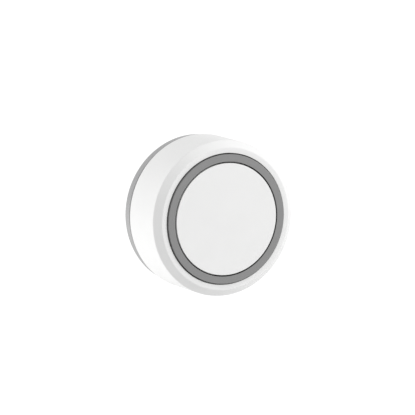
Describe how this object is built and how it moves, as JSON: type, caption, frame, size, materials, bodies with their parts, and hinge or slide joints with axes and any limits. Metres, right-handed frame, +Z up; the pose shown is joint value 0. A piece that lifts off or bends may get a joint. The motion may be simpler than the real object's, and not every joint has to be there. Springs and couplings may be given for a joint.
{
  "type": "wireless doorbell button",
  "caption": "Round white wireless bell push with a flat push button, a smoke-grey light ring round it and a grey twist-on wall plate.",
  "frame": {"origin": "middle of the wall plate's back face, on the wall and on the button's axis", "axes": "+Y into the wall and -Y out of it towards the person, +Z up, +X to the right as seen from the front"},
  "size_m": [0.055, 0.0264, 0.055],
  "materials": {
    "white_plastic": "satin moulded ABS",
    "grey_plastic": "satin moulded ABS",
    "smoke_plastic": "translucent smoke-grey polycarbonate",
    "silicone": "translucent moulded silicone",
    "seal_rubber": "black nitrile rubber",
    "board": "glass-epoxy laminate with green solder mask",
    "black_plastic": "black moulded plastic",
    "steel": "nickel-plated steel",
    "contact_brass": "plated brass",
    "capacitor_resin": "yellow moulded resin",
    "led_resin": "white LED package with clear lens"
  },
  "bodies": {
    "wall_plate": {"mounting_plate": "grey_plastic"},
    "housing": {"front_housing": "white_plastic", "light_ring": "smoke_plastic", "weather_mat": "silicone", "light_frame": "white_plastic", "ring_leds": "led_resin", "circuit_board": "board", "transmitter_chip": "black_plastic", "crystal": "steel", "capacitor": "capacitor_resin", "chip_resistors": "black_plastic", "antenna_wire": "contact_brass", "switch_body": "black_plastic", "switch_plate": "steel", "switch_leads": "steel", "battery_holder": "black_plastic", "negative_contact": "contact_brass", "positive_contact": "contact_brass", "coin_cell": "steel", "rear_cover": "grey_plastic", "cover_seal": "seal_rubber", "case_screws": "steel"},
    "button": {"push_button": "white_plastic"},
    "stem": {"switch_stem": "black_plastic"},
    "battery_cap": {"battery_cover": "grey_plastic", "battery_seal": "seal_rubber"}
  },
  "joints": [
    {"name": "twist_lock", "type": "hinge", "parent": "wall_plate", "child": "housing", "pos_m": [0, 0, 0], "axis": [0, -1, 0], "range_deg": [0, 28]},
    {"name": "button_press", "type": "slide", "parent": "housing", "child": "button", "axis": [0, 1, 0], "range_m": [0, 0.0007], "stiffness_N_per_m": 2500, "springref_m": -0.0004, "deforming": ["weather_mat"]},
    {"name": "stem_press", "type": "slide", "parent": "housing", "child": "stem", "axis": [0, 1, 0], "range_m": [0, 0.0007]},
    {"name": "cap_twist", "type": "hinge", "parent": "housing", "child": "battery_cap", "pos_m": [0, 0, 0], "axis": [0, 1, 0], "range_deg": [0, 60]}
  ],
  "couplings": [
    {"joint": "stem_press", "follows": "button_press", "ratio": 1}
  ]
}
